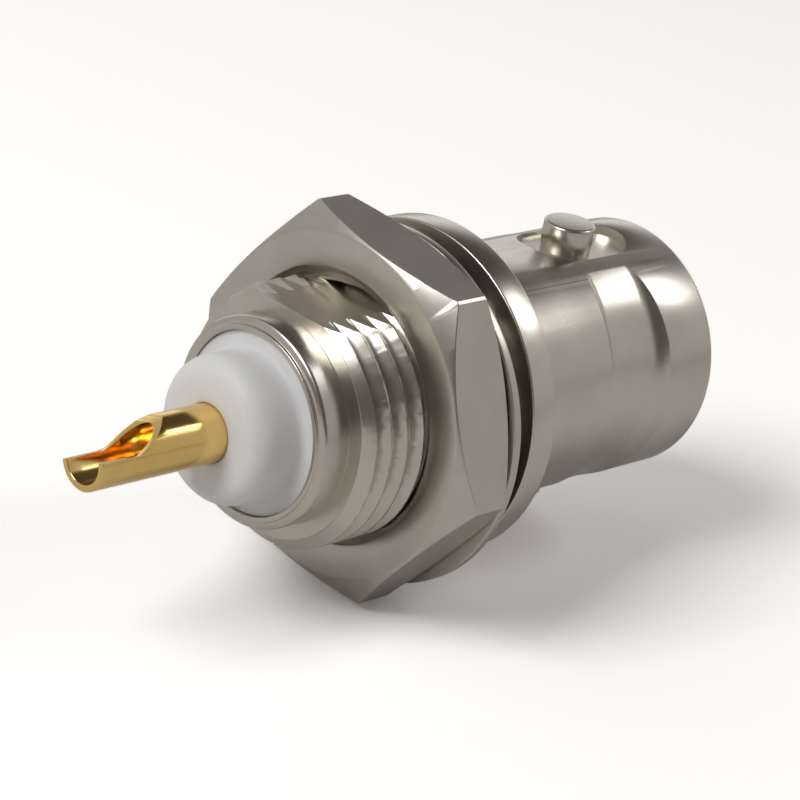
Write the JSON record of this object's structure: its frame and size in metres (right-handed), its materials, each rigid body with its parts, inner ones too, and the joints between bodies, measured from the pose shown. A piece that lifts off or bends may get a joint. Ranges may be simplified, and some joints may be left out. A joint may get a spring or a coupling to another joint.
{
  "type": "bnc bulkhead jack",
  "caption": "Coaxial bayonet jack for a D-shaped panel hole, with threaded tail, hex nut, lock washer and a solder cup for the centre wire.",
  "frame": {"origin": "on the connector's axis, in the flange face that sits on the panel", "axes": "+X along the axis out of the mating end, +Z through the upper bayonet lug and the D flat, +Y completes a right-handed frame"},
  "size_m": [0.027, 0.0146, 0.0138],
  "materials": {
    "shell_plating": "satin nickel plate on brass",
    "nut_plating": "satin nickel plate on brass",
    "washer_plating": "nickel plate on bronze",
    "ptfe": "white fluoropolymer, satin",
    "gold_plating": "thin gold plate on brass"
  },
  "bodies": {
    "jack": {"body": "shell_plating", "front_insulator": "ptfe", "rear_insulator": "ptfe", "centre_contact": "gold_plating"},
    "washer": {"lock_washer": "washer_plating"},
    "nut": {"hex_nut": "nut_plating"}
  },
  "joints": [
    {"name": "washer_slide", "type": "slide", "parent": "jack", "child": "washer", "axis": [1, 0, 0], "range_m": [-0.0049, 0.0009]},
    {"name": "nut_turn", "type": "hinge", "parent": "washer", "child": "nut", "pos_m": [0, 0, 0], "axis": [1, 0, 0], "range_deg": [-2220, 408]}
  ],
  "couplings": [
    {"joint": "washer_slide", "follows": "nut_turn", "m_per_rad": 0.00012633}
  ]
}
